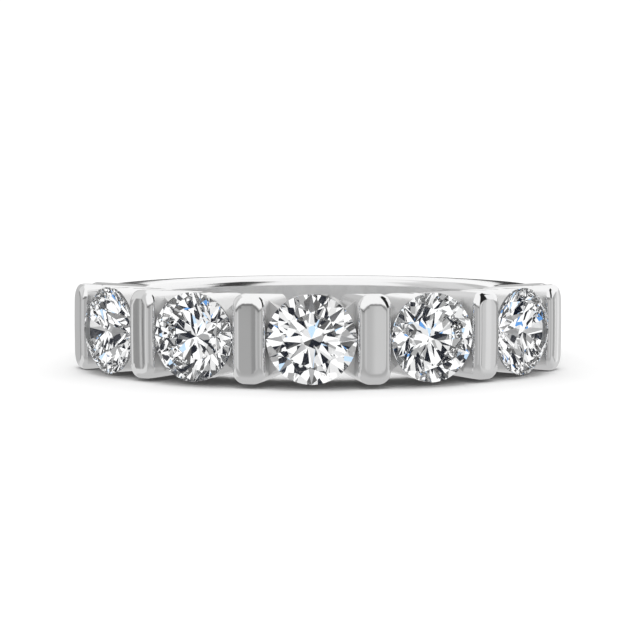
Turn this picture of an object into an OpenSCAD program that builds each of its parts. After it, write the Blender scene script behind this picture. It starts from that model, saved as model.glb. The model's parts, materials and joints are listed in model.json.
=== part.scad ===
// Five-stone bar-set wedding band: round brilliants held between upright bars on a tapered shank.
// Millimetres, +Z along the finger axis, middle stone toward -Y,
// origin at the centre of the finger hole, halfway up the band.

/* [Finger hole] */
// Diameter of the finger hole
bore_d = 17.2; // [16.8:0.1:17.6]
// Radius that rounds the rim of the finger hole
bore_round = 0.36; // [0.32:0.04:0.36]

/* [Stones] */
// Girdle diameter of a stone
stone_d = 3.98; // [3.9:0.01:3.98]
// Angle between neighbouring stones about the finger axis
pitch = 26.475; // [26.4:0.025:26.7]
// Distance from the finger axis to the middle of a girdle
girdle_r = 11.92; // [11.9:0.01:12]
// Table width as a share of the girdle diameter
table_share = 0.57; // [0.54:0.01:0.6]
// Angle of the crown facets to the girdle plane
crown_angle = 34.5; // [33:0.5:36]
// Angle of the pavilion facets to the girdle plane
pavilion_angle = 40.9; // [40.5:0.1:41.5]
// Thickness of the girdle where two main facets meet
girdle_t = 0.12; // [0.1:0.01:0.16]

/* [Bars] */
// Width of a bar across its face
bar_w = 1.5; // [1.44:0.01:1.5]
// Height of a bar, which is the width of the band at the head
bar_h = 4; // [4:0.02:4.1]
// Distance from the finger axis to the face of a bar
bar_r = 12.32; // [12.25:0.01:12.4]
// Radius on the long front edges of a bar
bar_edge_round = 0.28; // [0.2:0.01:0.3]
// Radius on the corners of a bar, seen from the front
bar_corner_round = 0.56; // [0.4:0.01:0.6]
// Radius that rolls the face of a bar over each end
bar_end_round = 0.45; // [0.4:0.01:0.5]

/* [Head] */
// Distance from the finger axis to the face of the web between the bars
web_r = 11.4; // [11.3:0.05:11.5]
// Radius of the cup under a stone
cup_r = 1.94; // [1.9:0.01:1.95]
// Radius of the open hole under a stone
light_hole_r = 1.2; // [1:0.05:1.3]

/* [Shank] */
// Width of the band at the back
back_w = 3.4; // [3.1:0.01:3.5]
// Distance from the finger axis to the outside of the band at the back
back_r = 10.56; // [10.5:0.02:10.7]
// Radius on the outer edges of the shank
shank_round = 0.45; // [0.35:0.05:0.5]

/* [Hidden] */
$fn = 96;

metal_colour = [0.86, 0.86, 0.87];
stone_colour = [0.88, 0.94, 0.98];
stone_numbers = [-2:2];
bar_numbers = [-2.5:2.5];
stone_gap = 0.05;
bore_r = bore_d / 2;
head_z = bar_h / 2;
back_z = back_w / 2;

// Cutting bodies start this far inside the finger hole and end past the stones and the sides.
inside_r = bore_r - 1;
far = 14;
tall = 4;

// The side faces lean in toward the finger hole from this radius.
lean = 3.7;
lean_from_r = 11.9;

// Between the bars and the back, the sides slope down over this stretch of Y.
slope_from_y = -3.7;
slope_to_y = 1.7;
slope = atan((head_z - back_z) / (slope_to_y - slope_from_y));

// The outside of the shank is a cylinder set off toward the head.
shoulder_angle = 70;
offset_y = (web_r - back_r) / (1 + cos(shoulder_angle));
outer_r = back_r + offset_y;

// The rounding runs this far past the wall it meets, so the two cross cleanly.
overrun = 0.03;

// Bars run in past the wall of the finger hole, which then trims them, and cups into the web.
bar_sunk = 0.5;
cup_sunk = 0.6;
bar_foot_r = bore_r - bar_sunk;
cup_foot_r = web_r - cup_sunk;
cup_top_r = girdle_r - girdle_t / 2 - stone_gap;

// Below the face of the web the metal under a stone is slightly slimmer than the cup.
web_step = 0.06;
web_cup_r = cup_r - web_step;
notch_x = 1.3;
notch_z = 1.14;
notch_top_x = 2.15;
notch_top_z = 1.87;

// Main facets of a crown or a pavilion, the angle between neighbours,
// and the reach of the lower half facets to the culet.
mains = 8;
eighth = 360 / mains;
lower_share = 0.78;

// The girdle has this many chords from a main facet to the corner between two half facets.
girdle_steps = 4;

// Half section of a body that only rounds the rim of the finger hole.
module rim_half(z_side) {
    centre_r = bore_r - overrun + bore_round;
    centre_z = z_side - (lean_from_r - centre_r) * tan(lean) - bore_round / cos(lean);
    touch_r = centre_r - bore_round * sin(lean);
    touch_z = centre_z + bore_round * cos(lean);
    union() {
        polygon([
            [inside_r, -tall],
            [far, -tall],
            [far, z_side],
            [lean_from_r, z_side],
            [touch_r, touch_z],
            [touch_r, centre_z],
            [inside_r, centre_z]
        ]);
        translate([centre_r, centre_z]) circle(r = bore_round);
    }
}

// Half section of a body that only rounds the outer edge of the shank.
module outer_half(z_side) {
    centre_r = outer_r + overrun - shank_round;
    centre_z = z_side - shank_round;
    union() {
        polygon([
            [0, -tall],
            [outer_r + 1, -tall],
            [outer_r + 1, centre_z],
            [centre_r, centre_z],
            [centre_r, z_side],
            [0, z_side]
        ]);
        translate([centre_r, centre_z]) circle(r = shank_round);
    }
}

// A solid that rounds one side of the band, and its mirror image for the other side.
module both_sides() {
    intersection() {
        children();
        mirror([0, 0, 1]) children();
    }
}

// Rounded rim and outer edge of a shank whose sides stand at z_side.
module shank_side(z_side) {
    intersection() {
        rotate_extrude() rim_half(z_side);
        translate([0, -offset_y, 0]) rotate_extrude() outer_half(z_side);
    }
}

// The head keeps its full width, and only the rim of its finger hole is rounded.
module head_envelope() {
    both_sides() rotate_extrude() rim_half(head_z);
}

module back_envelope() {
    both_sides() shank_side(back_z);
}

// Sides that slope down from the width of the head to the width of the back.
module slope_envelope() {
    both_sides()
        translate([0, slope_to_y, back_z])
            rotate([-slope, 0, 0])
                translate([0, -slope_to_y, -back_z])
                    shank_side(back_z);
}

// The child between the wall of the finger hole and the outside of the shank.
module between_walls() {
    difference() {
        intersection() {
            children();
            translate([0, -offset_y, -tall]) cylinder(r = outer_r, h = 2 * tall);
            translate([0, 0, -tall]) cylinder(r = web_r, h = 2 * tall);
        }
        translate([0, 0, -tall]) cylinder(d = bore_d, h = 2 * tall);
    }
}

module shank() {
    union() {
        between_walls() slope_envelope();
        between_walls() back_envelope();
    }
}

// Places a child that points along -Y at the angle of stone or bar number k.
module around(k) rotate([0, 0, k * pitch]) children();

// Prism along -Y of an outline drawn in X and Z.
module radial_prism(from_r, to_r) {
    translate([0, -from_r, 0]) rotate([90, 0, 0]) linear_extrude(to_r - from_r) children();
}

// Outline of a bar from the front.
module bar_front() {
    x = bar_w / 2 - bar_corner_round;
    y = bar_h / 2 - bar_corner_round;
    square([2 * x, bar_h], center = true);
    square([bar_w, 2 * y], center = true);
    for (sx = [-1, 1], sy = [-1, 1]) translate([sx * x, sy * y]) circle(r = bar_corner_round);
}

// Outline of a bar from above.
module bar_plan() {
    x = bar_w / 2 - bar_edge_round;
    y = bar_r - bar_edge_round;
    translate([-x, -bar_r]) square([2 * x, bar_r - bar_foot_r]);
    translate([-bar_w / 2, -y]) square([bar_w, y - bar_foot_r]);
    for (sx = [-1, 1]) translate([sx * x, -y]) circle(r = bar_edge_round);
}

// Outline of a bar from its flank.
module bar_flank() {
    y = bar_r - bar_end_round;
    z = bar_h / 2 - bar_end_round;
    translate([-bar_r, -z]) square([bar_r - bar_foot_r, 2 * z]);
    translate([-y, -bar_h / 2]) square([y - bar_foot_r, bar_h]);
    for (sz = [-1, 1]) translate([-y, sz * z]) circle(r = bar_end_round);
}

module bar() {
    intersection() {
        radial_prism(bar_foot_r, far) bar_front();
        translate([0, 0, -tall]) linear_extrude(2 * tall) bar_plan();
        translate([-bar_w, 0, 0]) rotate([90, 0, 90]) linear_extrude(2 * bar_w) bar_flank();
    }
}

// Wedge taken from the web beside a cup: it falls from the bar and stops at the cup's circle.
module notch_outline() {
    difference() {
        polygon([
            [0, bar_h],
            [0, notch_z],
            [notch_x, notch_z],
            [notch_top_x, notch_top_z],
            [notch_top_x, bar_h]
        ]);
        circle(r = web_cup_r);
    }
}

module notches() {
    for (sx = [0, 1], sz = [0, 1])
        mirror([sx, 0, 0]) mirror([0, 0, sz]) radial_prism(inside_r, far) notch_outline();
}

module cup() radial_prism(cup_foot_r, cup_top_r) circle(r = cup_r);

// Space kept clear for a stone, with the open hole below it.
module seat() {
    r = stone_d / 2 + stone_gap;
    half = girdle_t / 2 + stone_gap;
    foot = inside_r - girdle_r;
    depth = (r - light_hole_r) * tan(pavilion_angle);
    rise = (r - light_hole_r) * tan(crown_angle);
    translate([0, -girdle_r, 0])
        rotate([90, 0, 0])
            rotate_extrude()
                polygon([
                    [0, foot],
                    [light_hole_r, foot],
                    [light_hole_r, -half - depth],
                    [r, -half],
                    [r, half],
                    [light_hole_r, half + rise],
                    [0, half + rise]
                ]);
}

// Everything that stands on the shank, cut to the width of the head and clear of the finger hole.
module head_pieces() {
    difference() {
        intersection() {
            union() {
                for (k = stone_numbers) around(k) cup();
                for (k = bar_numbers) around(k) bar();
            }
            head_envelope();
        }
        translate([0, 0, -tall]) cylinder(d = bore_d, h = 2 * tall);
    }
}

module notched_shank() {
    intersection() {
        difference() {
            shank();
            for (k = stone_numbers) around(k) notches();
        }
        head_envelope();
    }
}

module band() {
    color(metal_colour)
    difference() {
        union() {
            notched_shank();
            head_pieces();
        }
        for (k = stone_numbers) around(k) seat();
    }
}

// Corner number k of a ring about the stone's axis, in steps of one main facet.
function ring_corner(radius, k, z) = [radius * cos(k * eighth), radius * sin(k * eighth), z];

// Height on the girdle of the plane through two girdle corners an eighth's half apart
// and the inner corner that lies midway between the main facets.
function half_facet_z(a, r, inner_x, inner_z, corner_z) =
    let (
        part = a % eighth,
        mid = eighth / 4,
        off = abs(part - eighth / 2),
        chord = r * cos(mid),
        along = r * cos(mid - off),
        inner_along = inner_x * cos(mid)
    )
    corner_z + (inner_z - corner_z) * (along - chord) / (inner_along - chord);

// Edge of the girdle, which dips between the corners of each half facet that cuts it.
function girdle_edge(r, inner_x, inner_z, corner_z) =
    let (rim = 2 * mains * girdle_steps)
    [
        for (i = [0:rim - 1])
            let (a = i * 360 / rim)
            [r * cos(a), r * sin(a), half_facet_z(a, r, inner_x, inner_z, corner_z)]
    ];

// Round brilliant with its table toward +Z and the middle of its girdle at the origin.
module brilliant() {
    r = stone_d / 2;
    half = girdle_t / 2;
    mid = cos(eighth / 2);
    table_r = r * table_share / mid;
    table_z = half + (r - table_r) * tan(crown_angle);
    star_x = (table_r * mid + r) / 2;
    star_z = half + (r - star_x * mid) * tan(crown_angle);
    lower_x = r * (1 - lower_share);
    lower_z = -half - (r - lower_x * mid) * tan(pavilion_angle);
    culet_z = -half - r * tan(pavilion_angle);
    last = mains - 1;
    points = concat(
        girdle_edge(r, star_x, star_z, half),
        girdle_edge(r, lower_x, lower_z, -half),
        [for (k = [0:last]) ring_corner(table_r, k, table_z)],
        [for (k = [0:last]) ring_corner(star_x, k + 0.5, star_z)],
        [for (k = [0:last]) ring_corner(lower_x, k + 0.5, lower_z)],
        [[0, 0, culet_z]]
    );
    // The number of the first corner in each ring, and of the culet.
    steps = girdle_steps;
    per = 2 * steps;
    rim = mains * per;
    t0 = 2 * rim;
    s0 = t0 + mains;
    l0 = s0 + mains;
    culet = l0 + mains;
    // Table, stars, crown mains, upper halves, girdle, lower halves and pavilion mains.
    faces = concat(
        [[for (i = [last:-1:0]) t0 + i]],
        [for (i = [0:last]) [t0 + i, t0 + (i + 1) % mains, s0 + i]],
        [for (i = [0:last]) [t0 + i, s0 + i, per * i, s0 + (i + last) % mains]],
        [for (i = [0:last]) concat([s0 + i], [for (j = [steps:-1:0]) per * i + j])],
        [for (i = [0:last]) concat([s0 + i], [for (j = [per:-1:steps]) (per * i + j) % rim])],
        [for (i = [0:rim - 1]) [i, (i + 1) % rim, rim + (i + 1) % rim, rim + i]],
        [for (i = [0:last]) concat([l0 + i], [for (j = [0:steps]) rim + per * i + j])],
        [for (i = [0:last]) concat([l0 + i], [for (j = [steps:per]) rim + (per * i + j) % rim])],
        [for (i = [0:last]) [culet, l0 + (i + last) % mains, rim + per * i, l0 + i]]
    );
    polyhedron(points = points, faces = faces);
}

module stone(k) {
    color(stone_colour)
        around(k) translate([0, -girdle_r, 0]) rotate([90, 0, 0]) brilliant();
}

module stone_1() stone(-2);
module stone_2() stone(-1);
module stone_3() stone(0);
module stone_4() stone(1);
module stone_5() stone(2);

band();
stone_1();
stone_2();
stone_3();
stone_4();
stone_5();
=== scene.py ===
"""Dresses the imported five-stone bar-set wedding band and stands it in a plain studio."""

from __future__ import annotations

import json
import logging
import math
from dataclasses import dataclass, field
from enum import Enum
from typing import Callable, Sequence, Union

import bpy
from mathutils import Matrix, Vector

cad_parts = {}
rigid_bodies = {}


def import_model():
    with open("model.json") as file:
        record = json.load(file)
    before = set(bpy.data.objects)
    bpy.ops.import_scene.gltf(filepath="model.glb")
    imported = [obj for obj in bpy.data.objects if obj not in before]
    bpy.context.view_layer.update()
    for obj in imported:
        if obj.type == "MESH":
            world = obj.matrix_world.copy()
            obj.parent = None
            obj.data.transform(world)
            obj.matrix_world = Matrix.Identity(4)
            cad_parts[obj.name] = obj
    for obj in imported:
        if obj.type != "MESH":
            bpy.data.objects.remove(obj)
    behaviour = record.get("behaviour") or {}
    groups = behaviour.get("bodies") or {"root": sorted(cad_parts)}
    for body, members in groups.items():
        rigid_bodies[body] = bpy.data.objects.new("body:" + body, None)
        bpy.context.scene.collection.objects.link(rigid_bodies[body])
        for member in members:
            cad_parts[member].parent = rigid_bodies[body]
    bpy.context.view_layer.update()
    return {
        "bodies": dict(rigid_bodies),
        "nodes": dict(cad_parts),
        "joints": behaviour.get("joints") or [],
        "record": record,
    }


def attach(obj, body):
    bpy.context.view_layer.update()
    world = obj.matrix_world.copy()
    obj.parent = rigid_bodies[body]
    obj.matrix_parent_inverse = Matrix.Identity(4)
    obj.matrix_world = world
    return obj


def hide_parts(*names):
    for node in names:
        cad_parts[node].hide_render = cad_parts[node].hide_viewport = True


LOG = logging.getLogger("wedding_band")
MM = 0.001
BODY = "root"

# How near a point lies to its own wall, and how near two points are one, in millimetres.
ON_WALL = 0.01
SAME_POINT = 0.0001

EAST = Vector((1, 0, 0))
NORTH = Vector((0, 1, 0))

Number = Union[int, float]
Colour = Union["Sock", tuple[float, float, float, float]]


# Shader expressions


class Sock:
    """One output socket of a node tree, with arithmetic that adds Math nodes."""

    def __init__(self, graph: "Graph", socket: bpy.types.NodeSocket) -> None:
        """Keeps the tree and the socket.

        Args:
            graph: The tree that the socket is in.
            socket: The output socket that carries the value.
        """
        self.graph = graph
        self.socket = socket

    def also(self, name: str) -> "Sock":
        """Returns another output of the same node."""
        return Sock(self.graph, self.socket.node.outputs[name])

    def math(self, operation: str, *values: "Sock | Number") -> "Sock":
        """Adds one Math node whose first input is this value.

        Args:
            operation: The Math node's operation.
            values: Its other inputs in order.

        Returns:
            The result.
        """
        return self.graph.math(operation, self, *values)

    def __add__(self, other: "Sock | Number") -> "Sock":
        """Returns the sum."""
        return self.graph.math("ADD", self, other)

    def __radd__(self, other: Number) -> "Sock":
        """Returns the sum with a number on the left."""
        return self.graph.math("ADD", other, self)

    def __sub__(self, other: "Sock | Number") -> "Sock":
        """Returns the difference."""
        return self.graph.math("SUBTRACT", self, other)

    def __rsub__(self, other: Number) -> "Sock":
        """Returns the difference from a number on the left."""
        return self.graph.math("SUBTRACT", other, self)

    def __mul__(self, other: "Sock | Number") -> "Sock":
        """Returns the product."""
        return self.graph.math("MULTIPLY", self, other)

    def __rmul__(self, other: Number) -> "Sock":
        """Returns the product with a number on the left."""
        return self.graph.math("MULTIPLY", other, self)

    def ramp(
        self, low: Number, high: Number, at_low: Number = 0.0, at_high: Number = 1.0
    ) -> "Sock":
        """Maps a range of values smoothly and clamps outside it.

        Args:
            low: Value that gives at_low.
            high: Value that gives at_high.
            at_low: Result at low.
            at_high: Result at high.

        Returns:
            The mapped value.
        """
        inputs = {0: self, 1: low, 2: high, 3: at_low, 4: at_high}
        return self.graph.node("ShaderNodeMapRange", {"interpolation_type": "SMOOTHSTEP"}, inputs)

    def stripe(self, centre: Number, half: Number, soft: Number) -> "Sock":
        """Marks a stripe of values.

        Args:
            centre: The middle of the stripe.
            half: Half the stripe's width.
            soft: How far each edge fades out.

        Returns:
            1 inside the stripe, 0 well outside it.
        """
        return (self - centre).math("ABSOLUTE").ramp(half, half + soft, 1.0, 0.0)


class Graph:
    """A node tree that is filled by expressions."""

    def __init__(self, tree: bpy.types.NodeTree) -> None:
        """Clears the tree.

        Args:
            tree: The tree to fill.
        """
        self.tree = tree
        tree.nodes.clear()

    def node(
        self,
        kind: str,
        settings: dict[str, object] | None = None,
        inputs: dict[int | str, object] | None = None,
        output: int | str = 0,
    ) -> Sock | None:
        """Adds a node.

        Args:
            kind: The node's type.
            settings: Properties that are set first.
            inputs: Values or links of its sockets, by number or name.
            output: The output wanted.

        Returns:
            The chosen output, or nothing for a node that has none.
        """
        made = self.tree.nodes.new(kind)
        for name, value in (settings or {}).items():
            setattr(made, name, value)
        for name, value in (inputs or {}).items():
            socket = made.inputs[name]
            if isinstance(value, Sock):
                self.tree.links.new(value.socket, socket)
            else:
                socket.default_value = value
        return Sock(self, made.outputs[output]) if len(made.outputs) else None

    def math(self, operation: str, *values: "Sock | Number") -> Sock:
        """Adds one Math node.

        Args:
            operation: The Math node's operation.
            values: Its inputs in order.

        Returns:
            The result.
        """
        return self.node("ShaderNodeMath", {"operation": operation}, dict(enumerate(values)))

    def mix(self, share: "Sock | Number", first: Colour, second: Colour) -> Sock:
        """Mixes two colours.

        Args:
            share: How much of the second colour shows.
            first: Colour or link.
            second: Colour or link.

        Returns:
            The mixed colour.
        """
        return self.node("ShaderNodeMix", {"data_type": "RGBA"}, {0: share, 6: first, 7: second}, 2)


def grey(value: float) -> tuple[float, float, float, float]:
    """Returns an opaque grey."""
    return (value, value, value, 1.0)


# Modelling steps


class Cut(Enum):
    """What a boolean step does with the second solid."""

    TAKE_AWAY = "DIFFERENCE"
    FUSE = "UNION"
    KEEP_COMMON = "INTERSECT"


@dataclass
class Solid:
    """A mesh object in the making, shaped along +Z and then turned to its place."""

    thing: bpy.types.Object

    @classmethod
    def cylinder(cls, radius: float, foot: float, top: float, sides: int) -> "Solid":
        """Adds a closed cylinder along +Z.

        Args:
            radius: Its radius in millimetres.
            foot: Height of its lower end.
            top: Height of its upper end.
            sides: Number of flat sides.

        Returns:
            The solid, in edit mode with its upper end selected.
        """
        bpy.ops.object.select_all(action="DESELECT")
        bpy.ops.mesh.primitive_cylinder_add(
            vertices=sides, radius=radius, depth=top - foot, location=(0, 0, (top + foot) / 2)
        )
        bpy.ops.object.transform_apply(location=True, rotation=True, scale=True)
        solid = cls(bpy.context.object)
        bpy.ops.object.mode_set(mode="EDIT")
        solid.pick_faces(lambda centre: centre.z > top - ON_WALL)
        return solid

    @classmethod
    def slab(cls, width: float, depth: float, at: float) -> "Solid":
        """Adds a flat rectangle that is square to Z.

        Args:
            width: Its size along X.
            depth: Its size along Y.
            at: Its height.

        Returns:
            The sheet, in edit mode and selected all over.
        """
        bpy.ops.object.select_all(action="DESELECT")
        bpy.ops.mesh.primitive_plane_add(size=1, location=(0, 0, at))
        solid = cls(bpy.context.object)
        bpy.ops.object.transform_apply(location=True, rotation=True, scale=True)
        bpy.ops.object.mode_set(mode="EDIT")
        bpy.ops.mesh.select_all(action="SELECT")
        bpy.ops.transform.resize(value=(width, depth, 1), center_override=(0, 0, at))
        return solid

    def pick_faces(self, wanted: Callable[[Vector], bool]) -> None:
        """Selects faces in edit mode.

        Args:
            wanted: Tells from a face's centre whether it is selected.
        """
        bpy.ops.mesh.select_mode(type="FACE")
        bpy.ops.mesh.select_all(action="DESELECT")
        bpy.ops.object.mode_set(mode="OBJECT")
        for face in self.thing.data.polygons:
            face.select = wanted(face.center)
        bpy.ops.object.mode_set(mode="EDIT")

    def pick_points(self, wanted: Callable[[Vector], bool]) -> None:
        """Selects vertices in edit mode.

        Args:
            wanted: Tells from a vertex's place whether it is selected.
        """
        bpy.ops.mesh.select_mode(type="VERT")
        bpy.ops.mesh.select_all(action="DESELECT")
        bpy.ops.object.mode_set(mode="OBJECT")
        for point in self.thing.data.vertices:
            point.select = wanted(point.co)
        bpy.ops.object.mode_set(mode="EDIT")

    def score(self, places: Sequence[float], direction: Vector = EAST) -> None:
        """Adds a line of edges all through the mesh at each place along a direction.

        Args:
            places: Distances from the origin.
            direction: The direction, of length 1.
        """
        for place in places:
            bpy.ops.mesh.select_all(action="SELECT")
            bpy.ops.mesh.bisect(plane_co=direction * place, plane_no=direction)

    def round_corners(self, radius: float, steps: int) -> None:
        """Rounds the selected corners of a flat sheet.

        Args:
            radius: Distance that the rounding takes from each side.
            steps: Number of chords in the rounding.
        """
        bpy.ops.mesh.bevel(offset=radius, segments=steps, profile=0.5, affect="VERTICES")

    def raise_end(self, height: float, across: float, along: float, at: float) -> None:
        """Extrudes the selected end upward and resizes it about the axis.

        Args:
            height: How far it goes up.
            across: Factor on its X.
            along: Factor on its Y.
            at: Height of the new end, for the centre of the resize.
        """
        bpy.ops.mesh.extrude_region_move(TRANSFORM_OT_translate={"value": (0, 0, height)})
        bpy.ops.transform.resize(value=(across, along, 1), center_override=(0, 0, at))

    def stack(self, start: tuple[float, float], levels: Sequence[tuple[float, float]]) -> "Solid":
        """Extrudes the selected round end through a list of heights and radii.

        Args:
            start: Height and radius of the selected end.
            levels: Height and radius of each further ring.

        Returns:
            The solid.
        """
        height, radius = start
        for new_height, new_radius in levels:
            factor = new_radius / radius
            self.raise_end(new_height - height, factor, factor, new_height)
            height, radius = new_height, new_radius
        return self.close()

    def close(self) -> "Solid":
        """Merges doubles, turns every face outward and leaves edit mode.

        Returns:
            The solid.
        """
        bpy.ops.mesh.select_all(action="SELECT")
        bpy.ops.mesh.remove_doubles(threshold=SAME_POINT)
        bpy.ops.mesh.normals_make_consistent(inside=False)
        bpy.ops.object.mode_set(mode="OBJECT")
        return self

    def move_points(self, rule: Callable[[Vector], Vector]) -> "Solid":
        """Moves every vertex by a rule, for the curves that no operator draws.

        Args:
            rule: Tells a vertex's new place from its old one.

        Returns:
            The solid.
        """
        for point in self.thing.data.vertices:
            point.co = rule(point.co)
        return self

    def copy(self) -> "Solid":
        """Returns a copy with its own mesh."""
        made = self.thing.copy()
        made.data = self.thing.data.copy()
        bpy.context.scene.collection.objects.link(made)
        return Solid(made)

    def turn(self, matrix: Matrix) -> "Solid":
        """Puts a turn or a scale into the mesh.

        Args:
            matrix: The transform.

        Returns:
            The solid.
        """
        bpy.ops.object.select_all(action="DESELECT")
        self.thing.select_set(True)
        bpy.context.view_layer.objects.active = self.thing
        self.thing.matrix_world = matrix @ self.thing.matrix_world
        bpy.ops.object.transform_apply(location=True, rotation=True, scale=True)
        return self

    def join(self, others: Sequence["Solid"]) -> "Solid":
        """Takes other solids, which don't touch it, into the same mesh.

        Args:
            others: The solids to take in.

        Returns:
            The joined solid.
        """
        bpy.ops.object.select_all(action="DESELECT")
        for other in others:
            other.thing.select_set(True)
        self.thing.select_set(True)
        bpy.context.view_layer.objects.active = self.thing
        bpy.ops.object.join()
        return self

    def combine(self, cut: Cut, tool: "Solid") -> "Solid":
        """Applies a boolean with another solid, which is used up.

        Args:
            cut: What is done.
            tool: The other solid.

        Returns:
            The solid.
        """
        bpy.ops.object.select_all(action="DESELECT")
        self.thing.select_set(True)
        bpy.context.view_layer.objects.active = self.thing
        step = self.thing.modifiers.new("cut", "BOOLEAN")
        step.operation = cut.value
        step.solver = "MANIFOLD"
        step.object = tool.thing
        bpy.ops.object.modifier_apply(modifier=step.name)
        bpy.data.objects.remove(tool.thing)
        return self


def toward_head(angle: float) -> Matrix:
    """Turns +Z to -Y, and X and Y to X and Z, and then goes round the finger axis.

    Args:
        angle: Degrees round the finger axis.

    Returns:
        The turn.
    """
    return Matrix.Rotation(math.radians(angle), 4, "Z") @ Matrix.Rotation(math.radians(90), 4, "X")


def smooth_step(value: float) -> float:
    """Returns 0 below 0, 1 above 1 and an S between."""
    inside = min(1.0, max(0.0, value))
    return inside * inside * (3 - 2 * inside)


# Sub-assemblies


@dataclass
class Shank:
    """The band itself, which gets slimmer and narrower toward the back. Sizes in millimetres.

    Its outside is a circle of radius outer, with the middle offset toward the head, up to the
    radius of the head's web. Its sides lean in toward the finger hole and slope along Y. It is
    made higher than the head by the spare, which the trim takes off.
    """

    bore: float = 8.6
    rim_round: float = 0.36
    rim_chords: int = 16
    outer: float = 11.186
    outer_round: float = 0.45
    outer_chords: int = 12
    offset: float = 0.626
    web: float = 11.4
    web_blend: float = 0.02
    side: float = 2.0
    back_side: float = 1.7
    lean: float = math.tan(math.radians(3.7))
    lean_from: float = 11.9
    slope_from: float = -3.7
    slope_to: float = 1.7
    slope_blend: float = 0.9
    spare: float = 0.12
    taper_margin: float = 0.3
    trim_outer: float = 14.0
    crown: float = 0.038
    crown_from: float = 0.275
    crown_lines: tuple[float, ...] = (0.28, 0.4, 0.52, 0.64, 0.76, 0.88)
    steps: int = 320

    @property
    def full_side(self) -> float:
        """Half the height of the head before the trim."""
        return self.side + self.spare

    def lathe(
        self,
        inner: float,
        outer: float,
        side: float,
        rounds: Sequence[tuple[float, float, int]],
        lines: Sequence[float] = (),
    ) -> Solid:
        """Spins a leaning rectangle with rounded corners about the finger axis.

        Args:
            inner: Radius of its inner wall.
            outer: Radius of its outer wall.
            side: Half its height where the lean starts.
            rounds: Radius of a wall, rounding of its two corners and number of chords.
            lines: Radii at which its sides get an extra edge.

        Returns:
            The ring.
        """
        solid = Solid.slab(outer - inner, 2 * side, 0)
        middle = (inner + outer) / 2
        bpy.ops.transform.translate(value=(middle, 0, 0))
        for wall in (inner, outer):
            solid.pick_points(lambda place, wall=wall: abs(place.x - wall) < ON_WALL)
            factor = 1 - (self.lean_from - wall) * self.lean / side
            bpy.ops.transform.resize(value=(1, factor, 1), center_override=(wall, 0, 0))
        for wall, radius, chords in rounds:
            solid.pick_points(lambda place, wall=wall: abs(place.x - wall) < ON_WALL)
            solid.round_corners(radius, chords)
        bpy.ops.mesh.select_all(action="SELECT")
        bpy.ops.mesh.delete(type="ONLY_FACE")
        solid.score(lines)
        bpy.ops.object.mode_set(mode="OBJECT")
        solid.turn(Matrix.Rotation(math.radians(90), 4, "X"))
        bpy.ops.object.mode_set(mode="EDIT")
        bpy.ops.mesh.select_all(action="SELECT")
        bpy.ops.mesh.spin(steps=self.steps, angle=math.tau, center=(0, 0, 0), axis=(0, 0, 1))
        return solid.close()

    def outside(self, angle: float) -> float:
        """Tells the radius of the outside of the band.

        Args:
            angle: Angle from the middle stone in radians.

        Returns:
            The radius.
        """
        sweep = self.offset * math.sin(angle)
        round_back = self.offset * math.cos(angle) + math.sqrt(self.outer**2 - sweep**2)
        gap = self.web - round_back
        soft_gap = math.sqrt(gap * gap + self.web_blend * self.web_blend)
        return (self.web + round_back - soft_gap) / 2

    def half_height(self, place_y: float) -> float:
        """Tells half the height of the band, which runs on past the head's own for the trim.

        Args:
            place_y: Place along Y.

        Returns:
            Half the height.
        """
        start = self.slope_from - self.slope_blend
        share = smooth_step((place_y - start) / (self.slope_to + self.slope_blend - start))
        return self.full_side + (self.back_side - self.full_side) * share

    def build(self) -> Solid:
        """Spins the section and then draws it out slimmer toward the back.

        Returns:
            The shank with its full height at the head.
        """
        rim = (self.bore, self.rim_round, self.rim_chords)
        edge = (self.outer, self.outer_round, self.outer_chords)
        inner = self.bore + self.rim_round
        width = self.outer - self.outer_round - inner
        lines = [inner + share * width for share in self.crown_lines]
        solid = self.lathe(self.bore, self.outer, self.full_side, [rim, edge], lines)
        LOG.info("shank: %d faces", len(solid.thing.data.polygons))
        return solid.move_points(self.tapered)

    def tapered(self, place: Vector) -> Vector:
        """Tells where a point of the even ring goes when the band tapers.

        Args:
            place: The point.

        Returns:
            Its new place.
        """
        fixed = self.bore + self.rim_round
        moving = self.outer - self.outer_round
        held = self.full_side - self.rim_round - self.taper_margin
        radius = math.hypot(place.x, place.y)
        angle = math.atan2(place.x, -place.y)
        share = min(1.0, max(0.0, (radius - fixed) / (moving - fixed)))
        factor = 1 + share * (self.outside(angle) - self.outer) / radius
        slope = self.full_side - self.half_height(place.y)
        crown = self.crown * (max(0.0, share - self.crown_from) / (1 - self.crown_from)) ** 2
        full_drop = slope + crown * slope / (self.full_side - self.back_side)
        drop = full_drop * min(1.0, abs(place.z) / held)
        height = math.copysign(abs(place.z) - drop, place.z)
        return Vector((place.x * factor, place.y * factor, height))

    def trim(self) -> Solid:
        """Builds the ring that all metal is kept inside of, with the finger hole's rounded rim.

        Returns:
            The ring.
        """
        rim = (self.bore, self.rim_round, self.rim_chords)
        return self.lathe(self.bore, self.trim_outer, self.side, [rim])


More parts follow.
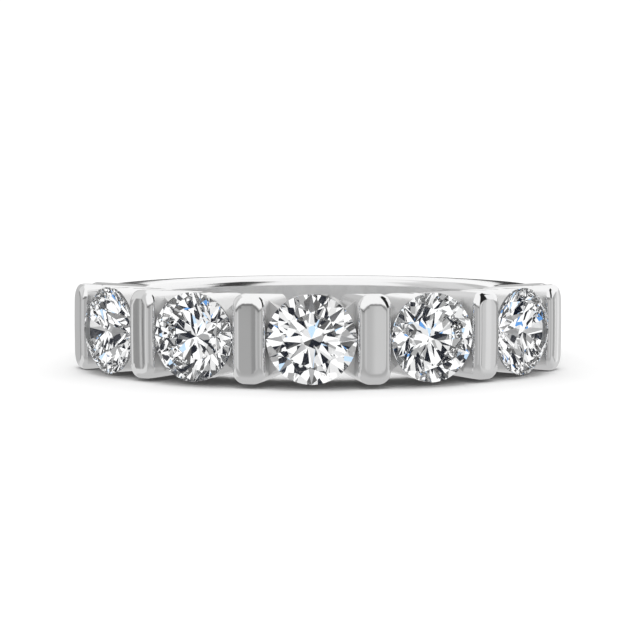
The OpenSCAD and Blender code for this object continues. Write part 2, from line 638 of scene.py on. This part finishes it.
@dataclass
class Bar:
    """One upright bar between two stones. Sizes in millimetres."""

    width: float = 1.5
    height: float = 4.0
    foot: float = 8.1
    face: float = 12.262
    corner_round: float = 0.56
    edge_round: float = 0.28
    end_round: float = 0.45
    chords: int = 10
    crown: float = 0.0229
    length_crown: float = 0.035
    crown_lines: tuple[float, ...] = (-0.36, -0.24, -0.12, 0.0, 0.12, 0.24, 0.36)
    length_lines: tuple[float, ...] = (-1.46, -1.3, -1.0, -0.5, 0.0, 0.5, 1.0, 1.3, 1.46)

    def build(self) -> Solid:
        """Extrudes the outline outward and closes it with a rounded, slightly crowned face.

        Returns:
            The bar along +Z.
        """
        solid = Solid.slab(self.width, self.height, self.foot)
        solid.round_corners(self.corner_round, self.chords)
        bpy.ops.mesh.select_all(action="SELECT")
        level = self.face - self.edge_round
        rise = level - self.foot
        bpy.ops.mesh.extrude_region_move(TRANSFORM_OT_translate={"value": (0, 0, rise)})
        half_x = self.width / 2
        half_y = self.height / 2
        for step in range(1, self.chords + 1):
            angle = math.pi / 2 * step / self.chords
            new_x = self.width / 2 - self.edge_round * (1 - math.cos(angle))
            new_y = self.height / 2 - self.end_round * (1 - math.cos(angle))
            new_level = self.face - self.edge_round * (1 - math.sin(angle))
            solid.raise_end(new_level - level, new_x / half_x, new_y / half_y, new_level)
            half_x, half_y, level = new_x, new_y, new_level
        solid.score(self.crown_lines)
        solid.score(self.length_lines, NORTH)
        return solid.close().move_points(self.crowned)

    def crowned(self, place: Vector) -> Vector:
        """Tells where a point of the bar goes when its face is crowned both ways.

        Args:
            place: The point.

        Returns:
            Its new place.
        """
        across = 1 - (2 * place.x / self.width) ** 2
        along = 1 - (2 * place.y / self.height) ** 2
        lift = self.crown * across + self.length_crown * along
        return place + Vector((0, 0, lift if place.z > self.foot + ON_WALL else 0.0))


@dataclass
class Head:
    """Six bars, and five cups with the notches beside them. Sizes in millimetres.

    Feet and tops are distances from the finger axis. A pair for a notch is half its width and its
    distance from the middle of the band, at its narrow bottom and at its sides.
    """

    pitch: float = 26.475
    stones: tuple[int, ...] = (-2, -1, 0, 1, 2)
    bars: tuple[float, ...] = (-2.5, -1.5, -0.5, 0.5, 1.5, 2.5)
    bar: Bar = field(default_factory=Bar)
    cup: float = 1.94
    cup_foot: float = 10.8
    girdle: float = 11.92
    web_cup: float = 1.88
    seat: float = 2.005
    seat_lip: float = 1.86
    seat_half: float = 0.08
    seat_step: float = 0.004
    hole: float = 1.2
    hole_foot: float = 6.0
    pavilion: float = math.tan(math.radians(40.9))
    crown: float = math.tan(math.radians(34.5))
    notch_foot: float = 7.6
    notch_top: float = 13.5
    notch_inner: tuple[float, float] = (1.3, 1.14)
    notch_outer: tuple[float, float] = (2.15, 1.87)
    notch_reach: float = 4.0
    overrun: float = 1.0
    sides: int = 160

    def spread(self, model: Solid, places: Sequence[float]) -> list[Solid]:
        """Copies a part that points along +Z to its places round the head.

        Args:
            model: The part, which is used up.
            places: Places in steps of the pitch.

        Returns:
            The copies.
        """
        made = [model.copy().turn(toward_head(place * self.pitch)) for place in places]
        bpy.data.objects.remove(model.thing)
        return made

    def notch(self) -> Solid:
        """Builds the cutters above and below one cup, which leave the cup's own column.

        Returns:
            Two prisms along +Z.
        """
        inner, outer = self.notch_inner, self.notch_outer
        depth = self.notch_reach - inner[1]
        upper = Solid.slab(2 * outer[0], depth, self.notch_foot)
        bpy.ops.transform.translate(value=(0, inner[1] + depth / 2, 0))
        upper.score((-inner[0], inner[0]))
        upper.pick_points(
            lambda place: abs(place.x) > inner[0] + ON_WALL and place.y < inner[1] + ON_WALL
        )
        bpy.ops.transform.translate(value=(0, outer[1] - inner[1], 0))
        bpy.ops.mesh.select_all(action="SELECT")
        bpy.ops.mesh.extrude_region_move(
            TRANSFORM_OT_translate={"value": (0, 0, self.notch_top - self.notch_foot)}
        )
        upper.close()
        lower = upper.copy().turn(Matrix.Rotation(math.pi, 4, "Z"))
        both = upper.join([lower])
        foot = self.notch_foot - self.overrun
        top = self.notch_top + self.overrun
        column = Solid.cylinder(self.web_cup, foot, top, self.sides).close()
        return both.combine(Cut.TAKE_AWAY, column)

    def build_cup(self) -> Solid:
        """Builds the solid wall under one stone.

        Returns:
            The cup along +Z.
        """
        top = self.girdle - self.seat_half
        return Solid.cylinder(self.cup, self.cup_foot, top, self.sides).close()

    def build_seat(self) -> Solid:
        """Builds the cutter that clears one stone, its open hole, and a narrow land on the cup.

        Returns:
            The cutter along +Z.
        """
        rim = self.girdle - self.seat_half
        cone_top = rim - (self.seat - self.seat_lip) * self.pavilion
        cone_foot = cone_top - (self.seat_lip - self.hole) * self.pavilion
        over = self.girdle + self.seat_half
        crown_top = over + (self.seat - self.hole) * self.crown
        solid = Solid.cylinder(self.hole, self.hole_foot, cone_foot, self.sides)
        levels = [
            (cone_top, self.seat_lip),
            (cone_top + self.seat_step, self.seat),
            (over, self.seat),
            (crown_top, self.hole),
        ]
        return solid.stack((cone_foot, self.hole), levels)


@dataclass
class Band:
    """All the soldered metal as one polished piece."""

    shank: Shank = field(default_factory=Shank)
    head: Head = field(default_factory=Head)
    smooth_angle: float = 30.0

    def build(self) -> bpy.types.Object:
        """Fuses shank, bars and cups, and cuts the seats.

        Returns:
            The piece, in metres.
        """
        head = self.head
        metal = self.shank.build()
        for cutter in head.spread(head.notch(), head.stones):
            metal.combine(Cut.TAKE_AWAY, cutter)
        first, *others = head.spread(head.build_cup(), head.stones)
        metal.combine(Cut.FUSE, first.join(others))
        first, *others = head.spread(head.bar.build(), head.bars)
        metal.combine(Cut.FUSE, first.join(others))
        metal.combine(Cut.KEEP_COMMON, self.shank.trim())
        for cutter in head.spread(head.build_seat(), head.stones):
            metal.combine(Cut.TAKE_AWAY, cutter)
        metal.turn(Matrix.Scale(MM, 4))
        bpy.ops.object.shade_smooth_by_angle(angle=math.radians(self.smooth_angle))
        piece = metal.thing
        piece.name = "band_polished"
        LOG.info("%s: %d faces", piece.name, len(piece.data.polygons))
        return piece

    def dress(self, piece: bpy.types.Object, finish: bpy.types.Material) -> None:
        """Gives the piece its finish and its place in the frame.

        Args:
            piece: The metal.
            finish: The material.
        """
        piece.data.materials.clear()
        piece.data.materials.append(finish)
        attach(piece, BODY)
        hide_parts("band")


# Finishes


def new_material(name: str) -> tuple[bpy.types.Material, Graph]:
    """Makes an empty material.

    Args:
        name: Its name.

    Returns:
        The material and its tree.
    """
    made = bpy.data.materials.new(name)
    made.use_nodes = True
    return made, Graph(made.node_tree)


@dataclass(frozen=True)
class PolishedMetal:
    """Mirror-polished white gold. A pair of lengths is where a zone starts to fade and is gone."""

    name: str = "polished white metal"
    tint: tuple[float, float, float] = (0.93, 0.93, 0.935)
    roughness: float = 0.055
    swirl_size: float = 2.2
    swirl_detail: float = 3.0
    swirl_range: tuple[float, float] = (0.3, 0.7)
    swirl_change: float = 0.3
    swirl_tone: float = 0.985
    inside_roughness: float = 0.2
    recess_roughness: float = 0.34
    # Grey of the painted shade that darkens the metal between the stones.
    recess_painted_shade: float = 0.76
    inside: tuple[float, float] = (8.62 * MM, 8.8 * MM)
    recess: tuple[float, float] = (12.0 * MM, 12.1 * MM)
    recess_height: tuple[float, float] = (1.6 * MM, 1.8 * MM)
    recess_end: tuple[float, float] = (-3.4 * MM, -2.6 * MM)

    def material(self) -> bpy.types.Material:
        """Builds the metal with faint polishing swirls.

        It is less polished inside the finger hole, and duller between the stones, where painted
        shade also darkens its colour.

        Returns:
            The material.
        """
        made, graph = new_material(self.name)
        place = graph.node("ShaderNodeTexCoord", None, None, "Object")
        scale = 1.0 / (self.swirl_size * MM)
        noise = {"Vector": place, "Scale": scale, "Detail": self.swirl_detail}
        swirl = graph.node("ShaderNodeTexNoise", None, noise)
        finest = self.roughness * (1 - self.swirl_change)
        dullest = self.roughness * (1 + self.swirl_change)
        rough = swirl.ramp(*self.swirl_range, finest, dullest)
        split = graph.node("ShaderNodeSeparateXYZ", None, {0: place})
        east, north = (split.also(name) for name in "XY")
        radius = (east * east + north * north).math("SQRT")
        height = split.also("Z").math("ABSOLUTE")
        # Mask of the recesses between the stones: it dulls the finish and also carries the painted
        # shade.
        recess_dulled_and_shaded = radius.ramp(*self.recess, 1.0, 0.0) * height.ramp(*self.recess_height, 1.0, 0.0)
        recess_dulled_and_shaded = recess_dulled_and_shaded * north.ramp(*self.recess_end, 1.0, 0.0)
        rough = rough + (self.recess_roughness - rough) * recess_dulled_and_shaded
        rough = rough + (self.inside_roughness - rough) * radius.ramp(*self.inside, 1.0, 0.0)
        shade = grey(self.tint[0] * self.swirl_tone)
        tint = graph.mix(swirl.ramp(*self.swirl_range), (*self.tint, 1.0), shade)
        # Painted shade: the metal's colour is darkened in the recesses between the stones, where
        # shade falls.
        tint = graph.mix(recess_dulled_and_shaded, tint, grey(self.recess_painted_shade))
        shader = graph.node(
            "ShaderNodeBsdfPrincipled",
            None,
            {"Base Color": tint, "Roughness": rough, "Metallic": 1.0},
        )
        graph.node("ShaderNodeOutputMaterial", None, {"Surface": shader})
        return made


@dataclass(frozen=True)
class ClearStone:
    """Colourless brilliant-cut stone."""

    name: str = "clear brilliant"
    ior: float = 2.417
    outer_shine: float = 0.14
    cloud_scale: float = 600.0
    cloud_range: tuple[float, float] = (0.35, 0.65)
    cloud_tint: tuple[float, float, float, float] = (0.985, 0.995, 1.0, 1.0)

    def material(self) -> bpy.types.Material:
        """Builds a clear refracting stone with the faintest cool cloud in it.

        Returns:
            The material.
        """
        made, graph = new_material(self.name)
        place = graph.node("ShaderNodeTexCoord", None, None, "Object")
        cloud = graph.node("ShaderNodeTexNoise", None, {"Vector": place, "Scale": self.cloud_scale})
        tint = graph.mix(cloud.ramp(*self.cloud_range), grey(1.0), self.cloud_tint)
        shader = graph.node(
            "ShaderNodeBsdfPrincipled",
            None,
            {
                "Base Color": tint,
                "Roughness": 0.0,
                "IOR": self.ior,
                "Transmission Weight": 1.0,
                "Specular Tint": grey(self.outer_shine),
            },
        )
        graph.node("ShaderNodeOutputMaterial", None, {"Surface": shader})
        return made


@dataclass
class Stones:
    """The five brilliants, whose CAD solids already have every facet."""

    nodes: tuple[str, ...] = ("stone_1", "stone_2", "stone_3", "stone_4", "stone_5")

    def dress(self, frame: dict, finish: bpy.types.Material) -> None:
        """Gives each stone its finish.

        Args:
            finish: The material.
        """
        for name in self.nodes:
            stone = frame["nodes"][name]
            stone.data.materials.clear()
            stone.data.materials.append(finish)
            LOG.info("%s: %d faces", name, len(stone.data.polygons))


# Light, floor and camera


@dataclass(frozen=True)
class Card:
    """One soft-edged panel of the studio round the band. Angles in degrees, tone as light."""

    azimuth: float
    half_width: float
    elevation: float
    half_height: float
    tone: float
    soft_across: float = 1.0
    soft_along: float = 4.0


# The room that the polished metal mirrors. Azimuth 0 is straight out from the middle stone, and
# positive is toward +X. A later card covers an earlier one.
WALLS: tuple[Card, ...] = (
    Card(-110, 45, 12, 40, 0.72, 8, 8),
    Card(-150, 12, 12, 22, 0.55, 6, 8),
    Card(-73, 8, 15, 22, 0.62, 6, 6),
    Card(73.5, 21.5, 32, 28, 0.02, 5, 5),
    Card(95, 12, 18, 16, 0.95, 3, 4),
)

# Narrow strip lights and flags at the height of the bars, mirrored in their faces. The last four
# are thin flags: two edge the back of the band with a dark line, and two the caps of the bars.
STRIPS: tuple[Card, ...] = (
    Card(-160, 20, -2, 6, 0.5, 4),
    Card(-139.5, 2.5, -2, 6, 0.5, 1.5),
    Card(-130, 4.5, -2, 6, 0.27, 1),
    Card(-112, 12, -2, 6, 0.45, 4),
    Card(-93, 3.5, -2, 6, 0.74, 1),
    Card(-87.4, 2.1, -2, 6, 0.29, 0.4),
    Card(-84.6, 0.6, -2, 6, 0.6, 0.3),
    Card(-83.3, 0.5, -2, 6, 0.2, 0.3),
    Card(-82, 0.7, -2, 6, 0.36, 0.4),
    Card(-75, 6, -2, 6, 0.66, 1),
    Card(-55, 14, -2, 6, 0.58, 4),
    Card(-37.5, 2.2, -2, 6, 0.68, 0.7),
    Card(-31, 4.2, -2, 6, 0.4, 0.8),
    Card(-27, 1, -2, 6, 0.29, 0.6),
    Card(-21.5, 3.6, -2, 6, 0.5, 1.2),
    Card(-13, 4, -2, 6, 0.35, 2),
    Card(4, 10, -2, 6, 0.46, 5),
    Card(19, 1.6, -2, 6, 0.57, 0.8),
    Card(24, 3, -2, 6, 0.5, 0.8),
    Card(30, 3.4, -2, 6, 0.62, 3),
    Card(39, 3, -2, 6, 0.36, 2),
    Card(52, 8, -2, 6, 0.48, 3),
    Card(68, 6, -2, 6, 0.68, 3),
    Card(75.5, 0.7, -2, 6, 0.33, 0.4),
    Card(78.5, 1.8, -2, 6, 0.6, 0.5),
    Card(82, 1.6, -2, 6, 0.74, 0.5),
    Card(86, 2.4, -2, 6, 0.66, 0.5),
    Card(92, 2.5, -2, 6, 0.38, 1),
    Card(109, 13, -2, 6, 0.33, 3),
    Card(129.5, 2.5, -2, 6, 0.36, 0.8),
    Card(135, 1, -2, 6, 0.68, 1.2),
    Card(137.4, 0.8, -2, 6, 0.92, 0.5),
    Card(142, 3.6, -2, 6, 0.66, 1),
    Card(162, 15, -2, 6, 0.55, 3),
    Card(177, 3, 4.8, 1.3, 0.05, 2, 0.7),
    Card(-176, 4, 4.8, 1.2, 0.12, 3, 0.7),
    Card(-30, 33, 1.1, 1.8, 0.2, 3, 0.4),
    Card(25, 20, 1.3, 1.6, 0.26, 3, 0.4),
)


@dataclass
class Room:
    """The light round the band, as a colour by direction.

    Pairs of angles say where a change starts and ends. A panel is the random number from which on
    a cell has a tone, and the tone.
    """

    sky: float = 0.99
    floor_front: float = 0.42
    floor_side: float = 0.66
    floor_deep: float = 0.56
    floor_turn: tuple[float, float] = (50, 75)
    floor_fade: tuple[float, float] = (-38, -10)
    horizon: tuple[float, float] = (-9, -5)
    backdrop: float = 1.1
    floor_ambient: float = 0.92
    under_band: float = 0.08
    panel_scale: float = 5.5
    night: tuple[float, float, float, float] = (0.006, 0.009, 0.018, 1.0)
    night_azimuth: float = 1.8
    night_elevation: float = 4.4
    night_half: float = 9.0
    night_soft: float = 4.0
    panels: tuple[tuple[float, float], ...] = (
        (0.23, 0.12),
        (0.3, 0.42),
        (0.4, 0.85),
        (0.58, 1.18),
    )
    pale_from: float = 0.95
    pale: tuple[float, float, float, float] = (0.62, 0.84, 1.1, 1.0)
    blue_from: float = 0.985
    blue: tuple[float, float, float, float] = (0.13, 0.38, 0.85, 1.0)

    def mirrored(self, azimuth: Sock, elevation: Sock) -> Sock:
        """Works out what polished metal sees.

        Args:
            azimuth: Direction in degrees.
            elevation: Direction in degrees.

        Returns:
            The light as a number.
        """
        side = azimuth.math("ABSOLUTE").ramp(*self.floor_turn, self.floor_front, self.floor_side)
        depth = elevation.ramp(*self.floor_fade)
        ground = side * depth + self.floor_deep * (1 - depth)
        value = elevation.ramp(*self.horizon) * (self.sky - ground) + ground
        for card in (*WALLS, *STRIPS):
            across = azimuth.stripe(card.azimuth, card.half_width, card.soft_across)
            along = elevation.stripe(card.elevation, card.half_height, card.soft_along)
            mask = across * along
            value = value + (card.tone - value) * mask
        return value

    def refracted(self, graph: Graph, place: Sock, azimuth: Sock, elevation: Sock) -> Sock:
        """Works out what is seen through a stone: many small panels, with a dark patch in front.

        Args:
            graph: The world's tree.
            place: Direction as a vector.
            azimuth: Direction in degrees.
            elevation: Direction in degrees.

        Returns:
            The light as a colour.
        """
        pattern = {"Vector": place, "Scale": self.panel_scale}
        cells = graph.node("ShaderNodeTexVoronoi", None, pattern, "Color")
        pick = graph.node("ShaderNodeSeparateXYZ", None, {0: cells})
        colour = self.night
        for limit, tone in self.panels:
            colour = graph.mix(pick.math("GREATER_THAN", limit), colour, grey(tone))
        colour = graph.mix(pick.math("GREATER_THAN", self.pale_from), colour, self.pale)
        colour = graph.mix(pick.math("GREATER_THAN", self.blue_from), colour, self.blue)
        across = azimuth.stripe(self.night_azimuth, self.night_half, self.night_soft)
        along = elevation.stripe(self.night_elevation, self.night_half, self.night_soft)
        return graph.mix(across * along, colour, self.night)

    def material_tree(self, graph: Graph) -> None:
        """Builds the world's nodes, which give each kind of ray its own light.

        The camera sees the backdrop, polished metal the mirrored room, a stone the small panels,
        and the floor an even sky that is nearly dark below.

        Args:
            graph: The world's tree.
        """
        place = graph.node("ShaderNodeTexCoord", None, None, "Generated")
        split = graph.node("ShaderNodeSeparateXYZ", None, {0: place})
        east, north, up = (split.also(name) for name in "XYZ")
        azimuth = east.math("ARCTAN2", north * -1) * math.degrees(1)
        elevation = up.math("ARCSINE") * math.degrees(1)
        value = self.mirrored(azimuth, elevation)
        colour = graph.node("ShaderNodeCombineXYZ", None, {0: value, 1: value, 2: value})
        camera = graph.node("ShaderNodeLightPath", None, None, "Is Camera Ray")
        through = camera.also("Is Transmission Ray")
        seen = graph.mix(through, colour, self.refracted(graph, place, azimuth, elevation))
        from_floor = camera.also("Diffuse Depth").math("GREATER_THAN", 0.5)
        open_sky = up.math("GREATER_THAN", 0.0)
        ambient = graph.mix(open_sky, grey(self.under_band), grey(self.floor_ambient))
        seen = graph.mix(from_floor, seen, ambient)
        seen = graph.mix(camera, seen, grey(self.backdrop))
        shader = graph.node("ShaderNodeBackground", None, {0: seen, 1: 1.0})
        graph.node("ShaderNodeOutputWorld", None, {0: shader})


@dataclass
class Studio:
    """Pale floor, soft light and the camera at the photograph's angle."""

    azimuth: float = 1.79
    elevation: float = 4.375
    distance: float = 110.02 * MM
    focal_px: float = 2240.0
    image_px: float = 640.0
    sensor: float = 36.0
    nearest: float = 1.0 * MM
    aim: tuple[float, float, float] = (0.0, 0.0, -0.05 * MM)
    rest_head: tuple[float, float] = (-4.61 * MM, -2.002 * MM)
    rest_back: tuple[float, float] = (10.417 * MM, -1.606 * MM)
    floor_size: float = 0.6
    floor_tone: float = 0.9
    lamp_strength: float = 0.95
    lamp_angle: float = 26.0
    lamp_tilt: float = 3.0
    bounces: int = 24

    def place_camera(self) -> None:
        """Makes the camera and looks at the middle of the band."""
        azimuth = math.radians(self.azimuth)
        elevation = math.radians(self.elevation)
        direction = Vector(
            (
                math.sin(azimuth) * math.cos(elevation),
                -math.cos(azimuth) * math.cos(elevation),
                math.sin(elevation),
            )
        )
        data = bpy.data.cameras.new("camera")
        data.sensor_width = self.sensor
        data.lens = self.sensor * self.focal_px / self.image_px
        data.clip_start = self.nearest
        camera = bpy.data.objects.new("camera", data)
        bpy.context.scene.collection.objects.link(camera)
        camera.location = Vector(self.aim) + direction * self.distance
        camera.rotation_euler = direction.to_track_quat("Z", "Y").to_euler()
        bpy.context.scene.camera = camera

    def lay_floor(self) -> None:
        """Lays the floor where the band rests, under its outer bars and the back of the shank."""
        bpy.ops.object.select_all(action="DESELECT")
        rise = self.rest_back[1] - self.rest_head[1]
        run = self.rest_back[0] - self.rest_head[0]
        tilt = math.atan2(rise, run)
        centre_z = self.rest_head[1] - self.rest_head[0] * rise / run
        bpy.ops.mesh.primitive_plane_add(
            size=self.floor_size, location=(0.0, 0.0, centre_z), rotation=(tilt, 0.0, 0.0)
        )
        floor = bpy.context.object
        floor.name = "floor"
        floor.visible_glossy = False
        floor.visible_transmission = False
        made, graph = new_material("white floor")
        shader = graph.node("ShaderNodeBsdfDiffuse", None, {"Color": grey(self.floor_tone)})
        graph.node("ShaderNodeOutputMaterial", None, {"Surface": shader})
        floor.data.materials.append(made)

    def light(self) -> None:
        """Surrounds the band with soft light."""
        world = bpy.data.worlds.new("studio")
        bpy.context.scene.world = world
        world.use_nodes = True
        Room().material_tree(Graph(world.node_tree))
        lamp = bpy.data.lights.new("floor light", "SUN")
        lamp.energy = self.lamp_strength
        lamp.angle = math.radians(self.lamp_angle)
        holder = bpy.data.objects.new("floor light", lamp)
        bpy.context.scene.collection.objects.link(holder)
        holder.rotation_euler = (math.radians(self.lamp_tilt), 0, 0)
        holder.visible_glossy = False
        holder.visible_transmission = False
        paths = bpy.context.scene.cycles
        paths.max_bounces = self.bounces
        paths.glossy_bounces = self.bounces
        paths.transmission_bounces = self.bounces
        bpy.context.scene.view_settings.view_transform = "Standard"


def main() -> None:
    """Builds every sub-assembly in order and reports each piece."""
    logging.basicConfig(level=logging.INFO, format="%(message)s")
    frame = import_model()
    studio = Studio()
    studio.place_camera()
    band = Band()
    band.dress(band.build(), PolishedMetal().material())
    Stones().dress(frame, ClearStone().material())
    studio.lay_floor()
    studio.light()


if __name__ == "__main__":
    main()
